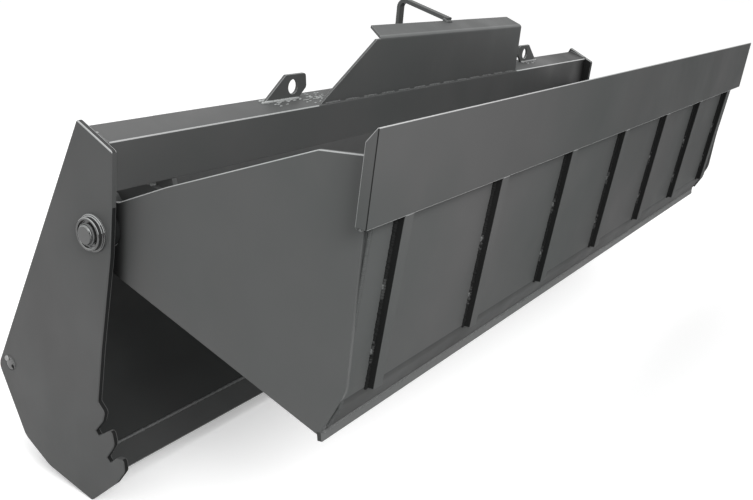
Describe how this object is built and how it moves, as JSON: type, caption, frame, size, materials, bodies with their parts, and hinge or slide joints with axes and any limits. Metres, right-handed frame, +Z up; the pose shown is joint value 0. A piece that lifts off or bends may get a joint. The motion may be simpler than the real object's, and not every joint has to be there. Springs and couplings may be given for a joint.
{
  "type": "combination bucket",
  "caption": "Wide loader bucket in two halves: a rear section with side plates, blade and spill guard, and a hinged front clam worked by hydraulic cylinders.",
  "frame": {"origin": "middle of the lower coupler pin's axis, behind the bucket's centre line", "axes": "+X across the bucket to its right side as seen from the front, +Y to the rear towards the loader, +Z up with the back upright and the clam fully open"},
  "size_m": [2.648, 1.1302, 1.0999],
  "materials": {
    "grey_paint": "satin dark grey",
    "edge_paint": "satin dark grey, a little lighter",
    "pin_steel": "turned steel, lightly painted",
    "rod_chrome": "polished hard chrome",
    "machined_steel": "turned",
    "bronze": "machined"
  },
  "bodies": {
    "rear_section": {"side_plate_left": "grey_paint", "side_plate_right": "grey_paint", "top_beam": "grey_paint", "beam_back_plate": "grey_paint", "moldboard": "grey_paint", "dozer_blade": "edge_paint", "skid_plate": "grey_paint", "spill_guard": "grey_paint", "guard_gussets": "grey_paint", "lifting_eye_left": "grey_paint", "lifting_eye_right": "grey_paint", "hose_hoop": "grey_paint", "spreader_tube": "grey_paint", "coupler_ears_left": "grey_paint", "coupler_ears_right": "grey_paint", "coupler_rings": "grey_paint", "back_ribs": "grey_paint", "cylinder_bracket_left": "grey_paint", "cylinder_bracket_right": "grey_paint", "pivot_doubler_left": "grey_paint", "pivot_doubler_right": "grey_paint", "pivot_boss_left": "grey_paint", "pivot_boss_right": "grey_paint", "pivot_pin_left": "pin_steel", "pivot_pin_right": "pin_steel", "base_pin_left": "pin_steel", "base_pin_right": "pin_steel", "base_pin_collars_left": "pin_steel", "base_pin_collars_right": "pin_steel"},
    "clam": {"clam_side_left": "grey_paint", "clam_side_right": "grey_paint", "clam_floor": "grey_paint", "clam_cutting_edge": "edge_paint", "clam_lip": "edge_paint", "wear_bars": "grey_paint", "clam_lever_left": "grey_paint", "clam_lever_right": "grey_paint", "pivot_tube_left": "grey_paint", "pivot_tube_right": "grey_paint", "pivot_bush_left": "bronze", "pivot_bush_right": "bronze", "lever_pin_left": "pin_steel", "lever_pin_right": "pin_steel"},
    "barrel_left": {"cylinder_base_left": "grey_paint", "cylinder_barrel_left": "grey_paint", "cylinder_gland_left": "machined_steel"},
    "rod_left": {"cylinder_rod_left": "rod_chrome", "cylinder_piston_left": "machined_steel", "rod_eye_left": "grey_paint"},
    "barrel_right": {"cylinder_base_right": "grey_paint", "cylinder_barrel_right": "grey_paint", "cylinder_gland_right": "machined_steel"},
    "rod_right": {"cylinder_rod_right": "rod_chrome", "cylinder_piston_right": "machined_steel", "rod_eye_right": "grey_paint"}
  },
  "joints": [
    {"name": "clam_hinge", "type": "hinge", "parent": "rear_section", "child": "clam", "pos_m": [0, -0.385, 0.375], "axis": [1, 0, 0], "range_deg": [0, 67]},
    {"name": "barrel_swing_left", "type": "hinge", "parent": "rear_section", "child": "barrel_left", "pos_m": [-1.195, -0.074, -0.042], "axis": [1, 0, 0], "range_deg": [0, 1.7]},
    {"name": "rod_slide_left", "type": "slide", "parent": "barrel_left", "child": "rod_left", "axis": [0, -0.426, 0.9047], "range_m": [0, 0.1175]},
    {"name": "barrel_swing_right", "type": "hinge", "parent": "rear_section", "child": "barrel_right", "pos_m": [1.195, -0.074, -0.042], "axis": [1, 0, 0], "range_deg": [0, 1.7]},
    {"name": "rod_slide_right", "type": "slide", "parent": "barrel_right", "child": "rod_right", "axis": [0, -0.426, 0.9047], "range_m": [0, 0.1175]}
  ],
  "couplings": [
    {"joint": "barrel_swing_left", "follows": "clam_hinge", "ratio": 0.0247},
    {"joint": "rod_slide_left", "follows": "clam_hinge", "m_per_rad": 0.099775},
    {"joint": "barrel_swing_right", "follows": "clam_hinge", "ratio": 0.0247},
    {"joint": "rod_slide_right", "follows": "clam_hinge", "m_per_rad": 0.099775}
  ]
}
